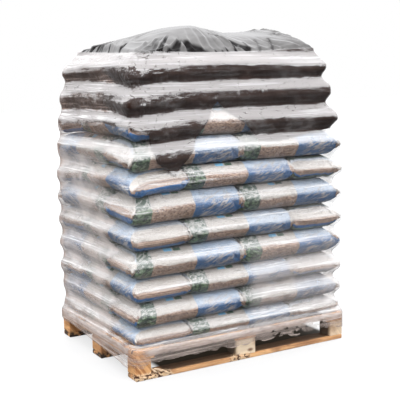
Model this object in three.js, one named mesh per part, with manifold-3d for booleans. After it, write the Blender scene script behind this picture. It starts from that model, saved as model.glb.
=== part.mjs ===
// A pallet of sacks: filled plastic sacks in bonded layers on a wooden block pallet, under a loose
// plastic top sheet and a clear stretch film. Millimetres, +Z up. The origin is on the floor under
// the middle of the pallet, +X runs along its long side and -Y is the front.
import * as THREE from "three";
import { mergeVertices } from "three/addons/utils/BufferGeometryUtils.js";
import Module from "manifold-3d";

const wasm = await Module();
wasm.setup();

// Pallet
const PALLET_LENGTH = 1200;
const PALLET_DEPTH = 900;
const BOARD_THICKNESS = 22;
const BLOCK_HEIGHT = 78;
const BLOCK_LENGTHS = { left: 80, middle: 110, right: 80 };
const BLOCK_WIDTHS = { front: 90, middle: 110, back: 90 };
const STRINGER_WIDTHS = { left: 100, middle: 120, right: 100 };
const DECK_BOARD_COUNT = 6;
const DECK_BOARD_WIDTH = 112;
const STRINGER_LEVEL = BOARD_THICKNESS + BLOCK_HEIGHT;
const DECK_LEVEL = STRINGER_LEVEL + BOARD_THICKNESS;
const PALLET_HEIGHT = DECK_LEVEL + BOARD_THICKNESS;

// Load: a grid of four by three squares, and a sack covers two of them
const GRID_COLUMNS = 4;
const GRID_ROWS = 3;
const LOAD_HALF_LENGTH = 594;
const LOAD_HALF_DEPTH = 444;
const LAYER_GAP = 0.3;
const SACK_JOIN = 3; // how far neighbours in a layer run into each other at their widest
const SACK_ROUNDING = 38; // how far a sack's faces stand in from its widest outline
const SACK_CORNER = 30; // corner radius of those faces
const ROUNDING_SHARE = 0.42; // the share of a layer's height that each rounded edge takes

// The layers from the bottom up: height, how far the sides stand in, how far the layer slid to -X
const LAYER_SIZES = [
  { height: 88, inset: 6, slide: 0 },
  { height: 118, inset: 6, slide: 0 },
  { height: 112, inset: 4, slide: 2 },
  { height: 130, inset: 2, slide: 0 },
  { height: 122, inset: 0, slide: 0 },
  { height: 124, inset: 3, slide: 2 },
  { height: 116, inset: 0, slide: 0 },
  { height: 134, inset: 4, slide: 0 },
  { height: 127, inset: 14, slide: 4 },
  { height: 130, inset: 30, slide: 8 },
  { height: 130, inset: 48, slide: 12 },
];

// Each sack of a layer on the grid: first column, first row, columns covered, rows covered
const BOND_ENDS_ACROSS = [
  [0, 0, 1, 2],
  [3, 0, 1, 2],
  [1, 0, 2, 1],
  [1, 1, 2, 1],
  [0, 2, 2, 1],
  [2, 2, 2, 1],
];
const BOND_FRONT_ALONG = [
  [0, 0, 2, 1],
  [2, 0, 2, 1],
  [0, 1, 1, 2],
  [1, 1, 1, 2],
  [2, 1, 1, 2],
  [3, 1, 1, 2],
];

// Top sheet and stretch film
const SHEET_OFFSETS = { inner: 0.4, outer: 1.4 };
const FILM_OFFSETS = { inner: 1.9, outer: 2.9 };
const SKIN_CORNER = 52;
const SKIN_VALLEY = 12; // how far the skins dip in between two layers
const FLAT_MARGIN = 2;
const FILM_HEM_ENDS = 60; // height of the film's lower edge on the short sides
const FILM_HEM_FRONT = 88; // and on the long sides
const FILM_HEM_CORNER = 15; // how much of a long side the lower hem covers at each end
const FILM_PALLET_LIFT = 6; // the film leaves the deck's edge this far above the deck
const PALLET_CORNER = 0.8;
const FILM_EDGE_RISE = 14; // the film's upper edge and the foot of the dome above the sacks
const FILM_EDGE_INSET = 22;
const SHEET_FIRST_LAYER = 6;
const SHEET_COLUMNS_PER_SIDE = 4;
const DOME_RINGS = [0.86, 0.68, 0.48, 0.25];
const DOME_CROWN = 100;
const DOME_HUMPS = [
  { x: -70, y: 0, height: 40, reach: 210 },
  { x: 375, y: 0, height: 70, reach: 190 },
];

// The top sheet's hem, along each side: place along the side, then height
const SHEET_HEM = {
  front: [
    [-620, 1160],
    [-517, 1139],
    [-491, 1120],
    [-461, 1015],
    [-370, 936],
    [-277, 1035],
    [-237, 1106],
    [-145, 1240],
    [-28, 1161],
    [50, 1105],
    [101, 1069],
    [200, 1063],
    [526, 1100],
    [620, 1108],
  ],
  left: [
    [-470, 1160],
    [-260, 1161],
    [-145, 1173],
    [404, 1150],
    [470, 1140],
  ],
  right: [
    [-470, 1108],
    [-150, 1120],
    [180, 1095],
    [470, 1130],
  ],
  back: [
    [-620, 1140],
    [-300, 1120],
    [-40, 1085],
    [160, 1040],
    [300, 1120],
    [620, 1130],
  ],
};
const HEM_CUT_FLOOR = 800;
const HEM_CUT_DEPTH = 190;
const HEM_CUT_INSIDE = 80;

const COLOURS = {
  wood: 0xd9a066,
  sack: 0xb9b3ad,
  sheet: 0x2b2b2c,
  film: 0xdfe3e6,
};

const part = new THREE.Group();

function addPiece(name, geometry, colour, roughness, options = {}) {
  const material = new THREE.MeshStandardMaterial({ color: colour, roughness, metalness: 0, ...options });
  const mesh = new THREE.Mesh(geometry, material);
  mesh.name = name;
  part.add(mesh);
  return mesh;
}

function toSolid(geometry) {
  const bare = geometry.clone();
  bare.deleteAttribute("normal");
  bare.deleteAttribute("uv");
  const merged = mergeVertices(bare, 1e-4);
  const vertProperties = new Float32Array(merged.attributes.position.array);
  const triVerts = new Uint32Array(merged.index.array);
  return new wasm.Manifold(new wasm.Mesh({ numProp: 3, vertProperties, triVerts }));
}

function toGeometry(solid) {
  const mesh = solid.getMesh();
  const geometry = new THREE.BufferGeometry();
  geometry.setAttribute("position", new THREE.BufferAttribute(mesh.vertProperties, 3));
  geometry.setIndex(new THREE.BufferAttribute(mesh.triVerts, 1));
  geometry.computeVertexNormals();
  return geometry;
}

function addBoard(name, size, corner) {
  const mesh = addPiece(name, new THREE.BoxGeometry(...size), COLOURS.wood, 0.8);
  mesh.position.set(corner[0] + size[0] / 2, corner[1] + size[1] / 2, corner[2] + size[2] / 2);
}

// The low edge of the first, middle and last of three pieces set flush with both ends of a span.
function threeStarts(span, sizes) {
  const [first, middle, last] = Object.keys(sizes);
  return {
    [first]: -span / 2,
    [middle]: -sizes[middle] / 2,
    [last]: span / 2 - sizes[last],
  };
}

function addPallet() {
  const columnStarts = threeStarts(PALLET_LENGTH, BLOCK_LENGTHS);
  const rowStarts = threeStarts(PALLET_DEPTH, BLOCK_WIDTHS);
  const stringerStarts = threeStarts(PALLET_LENGTH, STRINGER_WIDTHS);
  for (const [row, width] of Object.entries(BLOCK_WIDTHS)) {
    const y = rowStarts[row];
    addBoard(`bottom_board_${row}`, [PALLET_LENGTH, width, BOARD_THICKNESS], [-PALLET_LENGTH / 2, y, 0]);
    for (const [column, length] of Object.entries(BLOCK_LENGTHS)) {
      const corner = [columnStarts[column], y, BOARD_THICKNESS];
      addBoard(`block_${row}_${column}`, [length, width, BLOCK_HEIGHT], corner);
    }
  }
  for (const [column, width] of Object.entries(STRINGER_WIDTHS)) {
    const corner = [stringerStarts[column], -PALLET_DEPTH / 2, STRINGER_LEVEL];
    addBoard(`stringer_board_${column}`, [width, PALLET_DEPTH, BOARD_THICKNESS], corner);
  }
  const step = (PALLET_DEPTH - DECK_BOARD_WIDTH) / (DECK_BOARD_COUNT - 1);
  for (let i = 0; i < DECK_BOARD_COUNT; i += 1) {
    const corner = [-PALLET_LENGTH / 2, -PALLET_DEPTH / 2 + i * step, DECK_LEVEL];
    addBoard(`deck_board_${i + 1}`, [PALLET_LENGTH, DECK_BOARD_WIDTH, BOARD_THICKNESS], corner);
  }
}

// The layers with their lower and upper level and how far each side reaches.
function placeLayers() {
  let level = PALLET_HEIGHT;
  return LAYER_SIZES.map(({ height, inset, slide }) => {
    const bottom = level;
    level += height;
    return {
      bottom,
      top: level,
      middle: bottom + height / 2,
      rounding: height * ROUNDING_SHARE,
      left: -LOAD_HALF_LENGTH + inset - slide,
      right: LOAD_HALF_LENGTH - inset - slide,
      front: -LOAD_HALF_DEPTH + inset,
      back: LOAD_HALF_DEPTH - inset,
    };
  });
}

const LAYERS = placeLayers();
const TOP_LAYER = LAYERS[LAYERS.length - 1];

function roundedRectangle(length, width, radius) {
  const x = length / 2 - radius;
  const y = width / 2 - radius;
  const shape = new THREE.Shape();
  shape.absarc(x, -y, radius, -Math.PI / 2, 0);
  shape.absarc(x, y, radius, 0, Math.PI / 2);
  shape.absarc(-x, y, radius, Math.PI / 2, Math.PI);
  shape.absarc(-x, -y, radius, Math.PI, 1.5 * Math.PI);
  return shape;
}

// One plain sack: flat above and below, with rounded sides, standing on z = 0.
function sackGeometry(length, width, height, rounding) {
  const shape = roundedRectangle(length - 2 * SACK_ROUNDING, width - 2 * SACK_ROUNDING, SACK_CORNER);
  const geometry = new THREE.ExtrudeGeometry(shape, {
    depth: height - 2 * rounding,
    bevelEnabled: true,
    bevelThickness: rounding,
    bevelSize: SACK_ROUNDING,
    bevelSegments: 2,
    curveSegments: 1,
  });
  return geometry.translate(0, 0, rounding);
}

// One layer: its sacks run together at their widest, and the gaps between them stay as grooves.
function layerGeometry(layer, bond) {
  const left = layer.left + SACK_JOIN / 2;
  const front = layer.front + SACK_JOIN / 2;
  const column = (layer.right - SACK_JOIN / 2 - left) / GRID_COLUMNS;
  const row = (layer.back - SACK_JOIN / 2 - front) / GRID_ROWS;
  const height = layer.top - layer.bottom - LAYER_GAP;
  const sacks = bond.map(([i, j, columns, rows]) => {
    const length = columns * column + SACK_JOIN;
    const width = rows * row + SACK_JOIN;
    const sack = sackGeometry(length, width, height, layer.rounding);
    const x = left + (i + columns / 2) * column;
    const y = front + (j + rows / 2) * row;
    return toSolid(sack.translate(x, y, layer.bottom + LAYER_GAP / 2));
  });
  return toGeometry(sacks.reduce((whole, sack) => whole.add(sack)));
}

function addLayers() {
  LAYERS.forEach((layer, i) => {
    const bond = i % 2 === 0 ? BOND_ENDS_ACROSS : BOND_FRONT_ALONG;
    const name = `sack_layer_${String(i + 1).padStart(2, "0")}`;
    addPiece(name, layerGeometry(layer, bond), COLOURS.sack, 0.5);
  });
}

// A level loop round the load: how far it reaches on each side, its height and its corner radius.
function ringAround(reach, inset, z, corner) {
  return {
    left: reach.left + inset,
    right: reach.right - inset,
    front: reach.front + inset,
    back: reach.back - inset,
    z,
    corner,
  };
}

// Where two layers meet, the skins dip in from the layer that reaches further.
function valleyRing(below, above, offset) {
  const reach = {
    left: Math.min(below.left, above.left),
    right: Math.max(below.right, above.right),
    front: Math.min(below.front, above.front),
    back: Math.max(below.back, above.back),
  };
  return ringAround(reach, SKIN_VALLEY - offset, above.bottom, SKIN_CORNER - SKIN_VALLEY);
}

function bulgeRing(layer, offset, side) {
  const flat = (layer.top - layer.bottom) / 2 - layer.rounding + FLAT_MARGIN;
  return ringAround(layer, -offset, layer.middle + side * flat, SKIN_CORNER);
}

// The rounded shoulder of the top layer, and above it the edge where the dome starts.
function shoulderRings(offset) {
  const start = TOP_LAYER.top - TOP_LAYER.rounding;
  const rings = [Math.PI / 4, Math.PI / 2].map((angle) => {
    const inset = SACK_ROUNDING * (1 - Math.cos(angle)) - offset * Math.cos(angle);
    const z = start + TOP_LAYER.rounding * Math.sin(angle) + offset * Math.sin(angle);
    return ringAround(TOP_LAYER, inset, z, SKIN_CORNER - inset);
  });
  const inset = SACK_ROUNDING + FILM_EDGE_INSET - offset * Math.SQRT1_2;
  const z = TOP_LAYER.top + FILM_EDGE_RISE + offset * Math.SQRT1_2;
  return [...rings, ringAround(TOP_LAYER, inset, z, SKIN_CORNER - inset / 2)];
}

// Every loop of a skin that lies on the load, from a layer's lower edge up to the dome's edge.
function skinRings(firstLayer, offset) {
  const rings = [];
  LAYERS.slice(firstLayer).forEach((layer, i) => {
    if (i + firstLayer > 0) {
      rings.push(valleyRing(LAYERS[i + firstLayer - 1], layer, offset));
    }
    rings.push(bulgeRing(layer, offset, -1), bulgeRing(layer, offset, 1));
  });
  return [...rings, ...shoulderRings(offset)];
}

// The points of a loop, anticlockwise seen from above, with three at each corner.
function ringPoints(ring, stepsPerSide) {
  const { left, right, front, back, z, corner } = ring;
  const centres = [
    [right - corner, front + corner],
    [right - corner, back - corner],
    [left + corner, back - corner],
    [left + corner, front + corner],
  ];
  const corners = centres.map(([x, y], i) =>
    [0, 1, 2].map((k) => {
      const angle = (i - 1 + k / 2) * (Math.PI / 2);
      return new THREE.Vector3(x + corner * Math.cos(angle), y + corner * Math.sin(angle), z);
    }),
  );
  return corners.flatMap((points, i) => {
    const from = points[2];
    const to = corners[(i + 1) % corners.length][0];
    const between = [];
    for (let k = 1; k < stepsPerSide; k += 1) {
      between.push(from.clone().lerp(to, k / stepsPerSide));
    }
    return [...points, ...between];
  });
}

// The two triangles of a patch with four corners, or the one of a patch with three.
function patchFaces(a, b, c, d, otherDiagonal) {
  const faces = otherDiagonal ? [[a, b, d], [b, c, d]] : [[a, b, c], [a, c, d]];
  return faces.filter((face) => new Set(face).size === 3).flat();
}

// A thin shell between two faces, each a list of rows from its foot up. A row is a loop of points,
// or one point where the face ends. Both faces are split along the same diagonals, so that they
// never cross. Where joinTops is set, the last rows are loops too, and a rim joins them.
function shellBetween(innerRows, outerRows, joinTops) {
  const rows = [...innerRows.slice().reverse(), ...outerRows];
  const positions = rows.flat().flatMap((point) => point.toArray());
  const starts = rows.map((_, i) => rows.slice(0, i).reduce((count, row) => count + row.length, 0));
  const faces = [];
  const last = joinTops ? rows.length : rows.length - 1;
  for (let i = 0; i < last; i += 1) {
    const next = (i + 1) % rows.length;
    const columns = Math.max(rows[i].length, rows[next].length);
    for (let k = 0; k < columns; k += 1) {
      const a = starts[i] + (k % rows[i].length);
      const b = starts[i] + ((k + 1) % rows[i].length);
      const c = starts[next] + ((k + 1) % rows[next].length);
      const d = starts[next] + (k % rows[next].length);
      faces.push(...patchFaces(a, b, c, d, i < innerRows.length));
    }
  }
  const geometry = new THREE.BufferGeometry();
  geometry.setAttribute("position", new THREE.Float32BufferAttribute(positions, 3));
  geometry.setIndex(faces);
  return geometry;
}

function domeRise(x, y) {
  const acrossX = (x - (TOP_LAYER.left + TOP_LAYER.right) / 2) / (TOP_LAYER.right - TOP_LAYER.left);
  const acrossY = y / (TOP_LAYER.back - TOP_LAYER.front);
  const crown = DOME_CROWN * (1 - 4 * acrossX ** 2) * (1 - 4 * acrossY ** 2);
  const humps = DOME_HUMPS.map((hump) => {
    const distance = Math.hypot(x - hump.x, y - hump.y) / hump.reach;
    return hump.height * Math.exp(-(distance ** 2));
  });
  return crown + humps.reduce((sum, hump) => sum + hump, 0);
}

// The dome's loops shrink from the edge ring to one point in the middle.
function domeRows(edge, offset) {
  const middle = new THREE.Vector3((TOP_LAYER.left + TOP_LAYER.right) / 2, 0, 0);
  const base = TOP_LAYER.top + FILM_EDGE_RISE + offset;
  const onDome = (point) => point.clone().setZ(base + domeRise(point.x, point.y));
  const rings = DOME_RINGS.map((share) => edge.map((point) => onDome(point.clone().lerp(middle, 1 - share))));
  return [...rings, [onDome(middle)]];
}

function sheetRows(offset) {
  const rows = skinRings(SHEET_FIRST_LAYER, offset).map((ring) => ringPoints(ring, SHEET_COLUMNS_PER_SIDE));
  return [...rows, ...domeRows(rows[rows.length - 1], offset)];
}

// What is cut away under the hem on one side. The angle turns the front side to that side.
function hemCutter(hem, angle, reach) {
  const first = hem[0];
  const last = hem[hem.length - 1];
  const outline = [...hem, [last[0], HEM_CUT_FLOOR], [first[0], HEM_CUT_FLOOR]];
  const shape = new THREE.Shape(outline.map(([along, z]) => new THREE.Vector2(along, z)));
  const geometry = new THREE.ExtrudeGeometry(shape, { depth: HEM_CUT_DEPTH, bevelEnabled: false });
  geometry.rotateX(Math.PI / 2).translate(0, HEM_CUT_INSIDE - reach, 0).rotateZ(angle);
  return toSolid(geometry);
}

function mirroredHem(hem) {
  return hem.map(([along, z]) => [-along, z]).reverse();
}

function addTopSheet() {
  const cutters = [
    hemCutter(SHEET_HEM.front, 0, LOAD_HALF_DEPTH),
    hemCutter(SHEET_HEM.right, Math.PI / 2, LOAD_HALF_LENGTH),
    hemCutter(mirroredHem(SHEET_HEM.back), Math.PI, LOAD_HALF_DEPTH),
    hemCutter(mirroredHem(SHEET_HEM.left), -Math.PI / 2, LOAD_HALF_LENGTH),
  ];
  const shell = shellBetween(sheetRows(SHEET_OFFSETS.inner), sheetRows(SHEET_OFFSETS.outer), false);
  const sheet = cutters.reduce((rest, cutter) => rest.subtract(cutter), toSolid(shell));
  addPiece("top_sheet", toGeometry(sheet), COLOURS.sheet, 0.35);
}

function filmRings(offset) {
  const reach = {
    left: -PALLET_LENGTH / 2,
    right: PALLET_LENGTH / 2,
    front: -PALLET_DEPTH / 2,
    back: PALLET_DEPTH / 2,
  };
  const outward = SHEET_OFFSETS.outer - offset;
  const hem = ringAround(reach, outward, FILM_HEM_ENDS, PALLET_CORNER);
  const deckEdge = ringAround(reach, outward, PALLET_HEIGHT + FILM_PALLET_LIFT, PALLET_CORNER);
  return [hem, deckEdge, ...skinRings(0, offset)];
}

function addStretchFilm() {
  const inner = filmRings(FILM_OFFSETS.inner).map((ring) => ringPoints(ring, 1));
  const outer = filmRings(FILM_OFFSETS.outer).map((ring) => ringPoints(ring, 1));
  const band = toSolid(shellBetween(inner, outer, true));
  const gapLength = PALLET_LENGTH - 2 * FILM_HEM_CORNER;
  const gap = new THREE.BoxGeometry(gapLength, 2 * PALLET_DEPTH, 2 * FILM_HEM_FRONT);
  addPiece("stretch_film", toGeometry(band.subtract(toSolid(gap))), COLOURS.film, 0.1, {
    transparent: true,
    opacity: 0.3,
  });
}

addPallet();
addLayers();
addTopSheet();
addStretchFilm();

export default part;
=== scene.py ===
"""The looks of a loaded pallet: eleven layers of printed sacks, a dark top sheet and a clear stretch film."""
import math
from types import SimpleNamespace

import bmesh
import bpy
import numpy as np
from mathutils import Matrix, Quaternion, Vector, noise


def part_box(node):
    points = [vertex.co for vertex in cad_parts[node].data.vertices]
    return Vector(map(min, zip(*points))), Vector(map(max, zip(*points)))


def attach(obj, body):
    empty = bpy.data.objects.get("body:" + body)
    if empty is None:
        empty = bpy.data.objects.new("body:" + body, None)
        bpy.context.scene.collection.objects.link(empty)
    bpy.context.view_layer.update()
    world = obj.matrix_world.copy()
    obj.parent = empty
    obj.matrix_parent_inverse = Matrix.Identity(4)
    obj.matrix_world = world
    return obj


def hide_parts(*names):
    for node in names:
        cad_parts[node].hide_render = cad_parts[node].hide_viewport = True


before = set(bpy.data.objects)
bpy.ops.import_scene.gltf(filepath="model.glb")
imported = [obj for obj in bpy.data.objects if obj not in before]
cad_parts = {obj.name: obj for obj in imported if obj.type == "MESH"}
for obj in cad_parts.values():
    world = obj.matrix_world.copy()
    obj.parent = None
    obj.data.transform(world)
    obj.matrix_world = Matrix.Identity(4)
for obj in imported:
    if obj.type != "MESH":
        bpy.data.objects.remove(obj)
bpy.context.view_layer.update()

# The load's grid: a layer is four cells long and three deep, and a sack covers two cells
CELLS_LONG, CELLS_DEEP, LAYERS = 4, 3, 11
PALLET_LONG, PALLET_DEEP, PALLET_TOP = 1.2, 0.9, 0.144

# One sack before it goes on the load
SACK_FLAT_LENGTH, SACK_FLAT_WIDTH = 0.72, 0.41
SACK_HALF_LENGTH, SACK_HALF_WIDTH, SACK_HALF_HEIGHT = 0.300, 0.150, 0.061
SACK_MESH = 0.0125
SACK_OUTER_ROOM = 0.012
SACK_FRAMES = 28
EAR_ROOM, TOUCH_ROOM = 0.005, 0.0004

# The boards that close in on a sack: thickness, size and way to go, frames before they move, and frames in
# all that they stand still
PRESS_THICK, PRESS_SIZE, PRESS_WAY = 0.06, 0.8, 0.06
FRAMES_BEFORE, FRAMES_STILL = 8, 12

# How a sack is filled: growth of the flat cloth, pressure and bending stiffness
SACK_RECIPES = [(1.0, 14.0, 0.4), (1.02, 14.0, 0.4), (0.985, 26.0, 0.15)]

# The free side and the free end of a sack: where the lip is, how far it draws in above and below that, and
# over what depth
SIDE_PROFILE = (0.50, 0.046, 0.027, 0.085)
END_PROFILE = (0.40, 0.062, 0.022, 0.130)
CORNER_FILL, CORNER_REACH = 0.45, 0.050
RIGHT_LIP_RISE = 0.03

# How much less the sacks draw in at the load's corners. Below 0 it is more
EASE_RIGHT, EASE_BACK_LEFT, EASE_FRONT_LEFT = -0.25, 0.65, 0.20

# How far the boundaries between layers rise to the middles of the load's sides, lowest first, and their waves
EDGE_RISES = [0, 0.002, 0.003, 0.004, 0.006, 0.005, 0.015, 0.015, 0.018, 0.019, 0.022, 0]
LEFT_RISE, CORNER_DROOP = 0.004, 0.018
WAVE_HEIGHT, WAVE_LENGTH = 0.0035, 0.28

# The skin of film: stations round the load, rows up it, its edges, and how far it sags between two bulges
SKIN_CORE_LONG, SKIN_CORE_DEEP, SKIN_CORNER = 0.494, 0.344, 0.100
FILM_STATIONS, FILM_ROWS = 330, 286
FILM_FOOT, FILM_TOP, RIGHT_TOP_RISE, BACK_TOP_RISE = 0.060, 1.492, 0.018, 0.020
FILM_GAP, SHEET_GAP = 0.0034, 0.0010
SAG_RADIUS, LEFT_SAG_RADIUS, ROUND_SAG_RADIUS, DEEPEST_GAP = 0.016, 0.055, 0.10, 0.05
TIGHT_ROUND, STEEPEST_ROOF = 0.45, 1.2

# The film's long streaks and pulled folds, as depths, and the rope that its foot is rolled into at both ends
# of the load: middle above the foot, size and depth
STREAK_DEPTH, PULL_DEPTH = 0.0007, 0.0010
ROPE_MIDDLE, ROPE_SIZE, ROPE_DEPTH = 0.007, 0.005, 0.004

# How far the film's foot wanders and is ragged, and how high it lies on the left: at the front, and how much
# more at the back
FOOT_WANDER, FOOT_RAGGED, LEFT_FOOT, LEFT_FOOT_RISE = 0.014, 0.012, 0.056, 0.040

# How cloudy the film is on the right and the back, at its foot, and on the front below 1 m and below 0.6 m
CLOUDY_SIDES, CLOUDY_FOOT, CLOUDY_FRONT, CLOUDY_FRONT_LOW = 0.7, 0.75, 0.16, 0.70

# The two knots and the smaller one at the near upright corner, where the film gathers: height and size
FILM_KNOTS = [(1.380, 0.050), (1.250, 0.048), (1.125, 0.030)]

# Where the film's foot is torn on the front: from and to along the load, and how high up
TORN_FROM, TORN_TO, TORN_TOP = 0.14, 0.47, 0.118

# Stars of small creases where film and sheet are gathered over the sacks' corners: way round from the near
# corner, height, depth and size
CRUMPLES = [(-0.03, 1.405, 0.0065, 0.075), (0.02, 1.290, 0.0085, 0.070), (-0.02, 1.160, 0.0080, 0.060),
            (0.10, 1.225, 0.0045, 0.080), (0.16, 1.372, 0.0045, 0.070), (0.0, 1.035, 0.0040, 0.045),
            (-0.14, 1.10, 0.0040, 0.060), (0.0, 0.79, 0.0040, 0.045), (0.0, 0.53, 0.0040, 0.045)]

# The tip of the sheet's pointed flap on the front: place along the load, and height
FLAP_TIP = (-0.356, 0.927)

# The sheet's hem on each side: place along the side, then height
SHEET_HEM = {
    "front": [(-0.620, 1.160), (-0.517, 1.139), (-0.491, 1.120), (-0.461, 0.998), FLAP_TIP,
              (-0.277, 1.030), (-0.228, 1.112), (-0.117, 1.258), (0.000, 1.172), (0.066, 1.110),
              (0.112, 1.069), (0.200, 1.063), (0.526, 1.100), (0.620, 1.108)],
    "right": [(-0.470, 1.108), (-0.150, 1.120), (0.180, 1.095), (0.470, 1.130)],
    "back": [(-0.620, 1.140), (-0.300, 1.120), (-0.040, 1.085), (0.160, 1.040), (0.300, 1.120),
             (0.620, 1.130)],
    "left": [(-0.470, 1.160), (-0.260, 1.161), (-0.145, 1.173), (0.404, 1.150), (0.470, 1.140)],
}
SHEET_STATIONS, SHEET_ROWS, DOME_RINGS = 700, 70, 60

# Where the skirt starts under the film's edge, the depths of its tucks, and how far they are deep from the
# near corner
SKIRT_START, TUCK_DEPTH, SMALL_TUCK_DEPTH, TUCKED_CORNER = 0.006, 0.0050, 0.0020, 0.32

# The dome over the load: its half sizes and crown, and two humps as place, height and width
DOME_LONG, DOME_DEEP, DOME_CROWN = 0.600, 0.425, 0.084
DOME_HUMPS = [(-0.098, -0.121, 0.0615, 0.207), (0.47, -0.07, 0.036, 0.23)]

# Its folds as the photo shows them: foot and head, half width at both, and how dark the fold's painted shade
# is
DOME_FOLDS = [
    ((-0.53, -0.07), (-0.47, -0.02), 0.006, 0.002, 0.9), ((-0.53, -0.14), (-0.50, -0.11), 0.005, 0.003, 0.8),
    ((-0.53, -0.20), (-0.42, -0.10), 0.006, 0.003, 1.0), ((-0.48, -0.36), (-0.36, -0.22), 0.018, 0.010, 0.25),
    ((-0.46, -0.36), (-0.30, -0.20), 0.012, 0.008, 0.35), ((-0.44, -0.37), (-0.34, -0.25), 0.007, 0.005, 0.6),
    ((-0.41, -0.37), (-0.26, -0.20), 0.006, 0.005, 1.0), ((-0.39, -0.37), (-0.32, -0.28), 0.004, 0.003, 0.9),
    ((-0.345, -0.385), (-0.22, -0.26), 0.024, 0.003, 1.0),
    ((-0.165, -0.385), (-0.22, -0.27), 0.050, 0.008, 0.75),
    ((-0.06, -0.38), (-0.08, -0.33), 0.008, 0.003, 1.0), ((-0.03, -0.38), (-0.04, -0.33), 0.005, 0.003, 0.9),
    ((-0.01, -0.38), (-0.01, -0.31), 0.006, 0.003, 0.8), ((0.03, -0.38), (0.05, -0.25), 0.006, 0.003, 0.7),
    ((0.10, -0.38), (0.12, -0.34), 0.012, 0.012, 1.0), ((0.12, -0.34), (0.07, -0.30), 0.013, 0.012, 1.0),
    ((0.07, -0.30), (0.02, -0.23), 0.012, 0.006, 0.9), ((0.02, -0.23), (-0.05, -0.20), 0.006, 0.002, 0.6),
    ((0.11, -0.38), (0.13, -0.26), 0.004, 0.003, 0.7), ((0.16, -0.38), (0.22, -0.23), 0.006, 0.003, 0.4),
    ((0.27, -0.39), (0.25, -0.34), 0.007, 0.005, 0.9), ((0.25, -0.34), (0.30, -0.23), 0.005, 0.003, 0.5),
    ((0.35, -0.39), (0.35, -0.34), 0.006, 0.003, 0.8), ((0.40, -0.39), (0.36, -0.375), 0.006, 0.003, 1.0),
    ((0.45, -0.38), (0.43, -0.36), 0.014, 0.008, 1.0), ((-0.50, 0.10), (-0.44, 0.10), 0.006, 0.003, 0.6)]
FURTHER_FOLDS = 34

# Broad soft folds fan out from two points: place and number of folds
LEFT_FAN, RIGHT_FAN = (-0.06, 0.06, 30), (0.24, 0.10, 34)
FOLD_DEPTH, FOLD_LENGTH, FOLD_STEEP, FOLD_BREADTH = 0.010, 0.30, 0.35, 1.3
FACET_DEPTH, DEEPEST_FOLD = 0.004, 0.016

# How pale the newer wood is, from 0 to 1
PALE_WOOD = {"block_front_middle": 1.0, "block_front_right": 0.8, "bottom_board_front": 0.12}

# The pallet's boards: width of their worn edges, length of the pieces that their mesh is cut into, and how
# deep their faces are rough and worn
WOOD_BEVEL, WOOD_CUT, WOOD_ROUGH, WOOD_WORN = 0.003, 0.012, 0.0014, 0.0040

# Splinters torn from the foot of the pallet: both ends as place along the front and height, width, and how
# far they stand out
SPLINTERS = [
    ((-0.522, 0.052), (-0.468, 0.004), 0.011, 0.006), ((-0.508, 0.050), (-0.405, 0.004), 0.013, 0.004),
    ((-0.585, 0.018), (-0.500, 0.006), 0.007, 0.004), ((-0.560, 0.004), (-0.470, 0.021), 0.006, 0.003),
    ((-0.075, 0.030), (-0.050, 0.003), 0.008, 0.005), ((-0.052, 0.026), (-0.012, 0.004), 0.006, 0.004),
    ((-0.030, 0.020), (0.015, 0.010), 0.005, 0.003)]

# The studio sky: where it is brightest, and how its light falls from there, as cosine of the angle and share
# of power
SKY_MIDDLE = (0.04, -0.06, 1.0)
SKY_GLOW = [(0.0, 0.16), (0.14, 0.32), (0.30, 0.66), (0.55, 0.84), (0.75, 0.93), (0.90, 1.0), (1.0, 1.0)]
SKY_POWER = 3.2

# The photograph's viewpoint
CAMERA_PLACE = (-2.204, -3.853, 1.386)
CAMERA_TURN, CAMERA_PITCH, CAMERA_ROLL = math.radians(29.94), math.radians(8.34), math.radians(-1.19)
CAMERA_LENS, SENSOR_WIDTH = 77.09, 36.0


# Numbers over arrays


def lattice_noise(x, y, seed):
    """Smooth noise between -1 and 1 over numpy coordinates, one lattice cell per unit."""
    values = np.random.default_rng(seed).uniform(-1, 1, (64, 64))
    x0, y0 = np.floor(x).astype(int), np.floor(y).astype(int)
    fx, fy = x - x0, y - y0
    fx, fy = fx * fx * (3 - 2 * fx), fy * fy * (3 - 2 * fy)
    low = values[x0 % 64, y0 % 64] * (1 - fx) + values[(x0 + 1) % 64, y0 % 64] * fx
    high = values[x0 % 64, (y0 + 1) % 64] * (1 - fx) + values[(x0 + 1) % 64, (y0 + 1) % 64] * fx
    return low * (1 - fy) + high * fy


def smoothstep(low, high, value):
    share = np.clip((value - low) / (high - low), 0, 1)
    return share * share * (3 - 2 * share)


def moved(field, shift, axis, wraps, beyond=None):
    """The field moved along one axis. Where it doesn't go round, `beyond` or its own edge comes in."""
    result = np.roll(field, shift, axis)
    if shift and not wraps:
        edge = slice(0, shift) if shift > 0 else slice(shift, None)
        own = np.moveaxis(field, axis, 0)[0 if shift > 0 else -1]
        np.moveaxis(result, axis, 0)[edge] = own if beyond is None else beyond
    return result


def blurred(field, axis, passes, wraps):
    for number in range(passes):
        field = field * 0.5 + (moved(field, 1, axis, wraps) + moved(field, -1, axis, wraps)) * 0.25
    return field


# Nodes


class Signal:
    """A value that a material works out at each point of a surface. Arithmetic on it adds nodes."""

    def __init__(self, look, socket):
        self.look, self.socket = look, socket

    def __add__(self, other):
        return self.look.math("ADD", self, other)

    def __sub__(self, other):
        return self.look.math("SUBTRACT", self, other)

    def __rsub__(self, other):
        return self.look.math("SUBTRACT", other, self)

    def __mul__(self, other):
        return self.look.math("MULTIPLY", self, other)

    def __abs__(self):
        return self.look.math("ABSOLUTE", self)

    __radd__ = __add__
    __rmul__ = __mul__


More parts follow.
